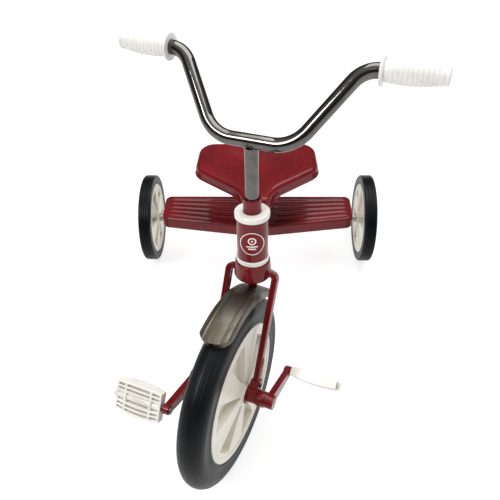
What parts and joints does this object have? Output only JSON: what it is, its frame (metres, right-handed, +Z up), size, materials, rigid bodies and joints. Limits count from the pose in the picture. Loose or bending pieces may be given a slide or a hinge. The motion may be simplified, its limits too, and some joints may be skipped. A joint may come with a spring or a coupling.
{
  "type": "children's tricycle",
  "caption": "Red steel children's tricycle with a pedal-driven front wheel, chrome handlebar and mudguard, pressed seat, rear step deck and small rear wheels.",
  "frame": {"origin": "on the floor, under the middle of the outline", "axes": "+Z up; the tricycle faces -Y, and the rider's left is +X"},
  "size_m": [0.5088, 0.7149, 0.6152],
  "materials": {
    "red_enamel": "glossy enamel on steel",
    "white_plastic": "moulded plastic with a soft shine",
    "printed_badge": "smooth printed label",
    "zinc_plate": "zinc-plated steel",
    "chrome_plate": "bright chrome plate",
    "satin_chrome": "dulled chrome plate on sheet steel",
    "grip_vinyl": "soft vinyl",
    "black_tyre": "smooth black rubber",
    "cream_plastic": "moulded plastic, slightly yellowed"
  },
  "bodies": {
    "frame": {"head_tube": "red_enamel", "upper_bearing": "white_plastic", "lower_bearing": "white_plastic", "head_badge": "printed_badge", "backbone": "red_enamel", "backbone_foot": "red_enamel", "rear_deck": "red_enamel", "axle_bracket_left": "red_enamel", "axle_bracket_right": "red_enamel", "rear_axle": "zinc_plate", "axle_spacers": "zinc_plate", "axle_caps": "chrome_plate", "seat_shell": "red_enamel", "seat_bracket": "red_enamel", "seat_bolts": "zinc_plate", "bracket_bolts": "zinc_plate", "deck_bolts": "zinc_plate"},
    "steering": {"steerer_tube": "red_enamel", "handlebar_stem": "chrome_plate", "handlebar": "chrome_plate", "stem_bolt": "zinc_plate", "grip_left": "grip_vinyl", "grip_right": "grip_vinyl", "fork_crown": "red_enamel", "fork_leg_left": "red_enamel", "fork_leg_right": "red_enamel", "hub_block_left": "red_enamel", "hub_block_right": "red_enamel", "hub_block_bolts": "chrome_plate", "front_fender": "satin_chrome", "fender_stay": "red_enamel"},
    "drive": {"front_tyre": "black_tyre", "front_rim": "cream_plastic", "hub_discs": "red_enamel", "crank_axle": "red_enamel", "pedal_pins": "chrome_plate", "pedal_caps": "zinc_plate"},
    "pedal_left": {"pedal_left": "white_plastic"},
    "pedal_right": {"pedal_right": "white_plastic"},
    "rear_wheel_left": {"rear_tyre_left": "black_tyre", "rear_rim_left": "cream_plastic"},
    "rear_wheel_right": {"rear_tyre_right": "black_tyre", "rear_rim_right": "cream_plastic"}
  },
  "joints": [
    {"name": "steering", "type": "hinge", "parent": "frame", "child": "steering", "pos_m": [0, -0.13252, 0.15261], "axis": [0, 0.1219, 0.9925], "range_deg": [-18.5, 61.5]},
    {"name": "front_axle", "type": "hinge", "parent": "steering", "child": "drive", "pos_m": [-0.03201, -0.21449, 0.15187], "axis": [0.9304, -0.3638, 0.0447], "continuous": true},
    {"name": "pedal_left_pin", "type": "hinge", "parent": "drive", "child": "pedal_left", "pos_m": [0.10015, -0.17626, 0.12371], "axis": [0.9304, -0.3638, 0.0447], "continuous": true},
    {"name": "pedal_right_pin", "type": "hinge", "parent": "drive", "child": "pedal_right", "pos_m": [-0.16417, -0.25272, 0.18003], "axis": [0.9304, -0.3638, 0.0447], "continuous": true},
    {"name": "rear_axle_left", "type": "hinge", "parent": "frame", "child": "rear_wheel_left", "pos_m": [0.237, 0.26248, 0.095], "axis": [1, 0, 0], "continuous": true},
    {"name": "rear_axle_right", "type": "hinge", "parent": "frame", "child": "rear_wheel_right", "pos_m": [-0.237, 0.26248, 0.095], "axis": [1, 0, 0], "continuous": true}
  ]
}
